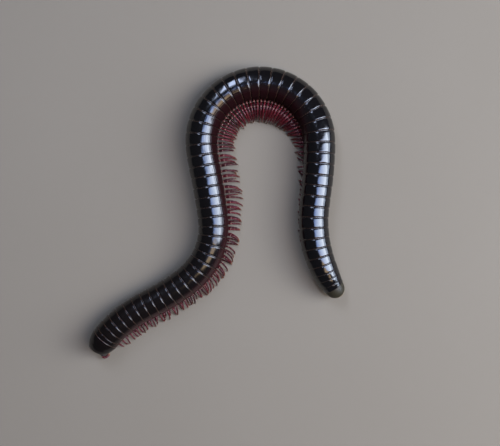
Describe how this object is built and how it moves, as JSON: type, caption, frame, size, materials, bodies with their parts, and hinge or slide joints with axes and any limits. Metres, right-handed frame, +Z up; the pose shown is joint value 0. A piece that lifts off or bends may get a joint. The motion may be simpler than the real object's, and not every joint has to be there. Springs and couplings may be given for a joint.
{
  "type": "pachyiulus millipede",
  "caption": "Still life-size model of a large glossy black round-backed millipede resting in a loose hook, with ringed trunk, wine-red legs, clubbed antennae and blunt tail.",
  "frame": {"origin": "on the floor plane, under the middle of the animal's bounding box", "axes": "+Z up, +Y to the arch of the hook, +X from the limb that carries the head to the limb that carries the tail"},
  "size_m": [0.0513, 0.0587, 0.0068],
  "materials": {
    "cuticle": "glossy black cuticle with a brown cast on the lower sides and pale bronze rear rims on the rings",
    "leg_cuticle": "satin wine-red cuticle with pale joints and tan tips",
    "eye": "glossy black lens field"
  },
  "bodies": {
    "root": {"head": "cuticle", "eye_left": "eye", "eye_right": "eye", "antenna_left": "leg_cuticle", "antenna_right": "leg_cuticle", "collum": "cuticle", "trunk_01": "cuticle", "trunk_02": "cuticle", "trunk_03": "cuticle", "trunk_04": "cuticle", "trunk_05": "cuticle", "trunk_06": "cuticle", "trunk_07": "cuticle", "trunk_08": "cuticle", "trunk_09": "cuticle", "trunk_10": "cuticle", "trunk_11": "cuticle", "telson": "cuticle", "anal_valve_left": "cuticle", "anal_valve_right": "cuticle"}
  },
  "joints": []
}
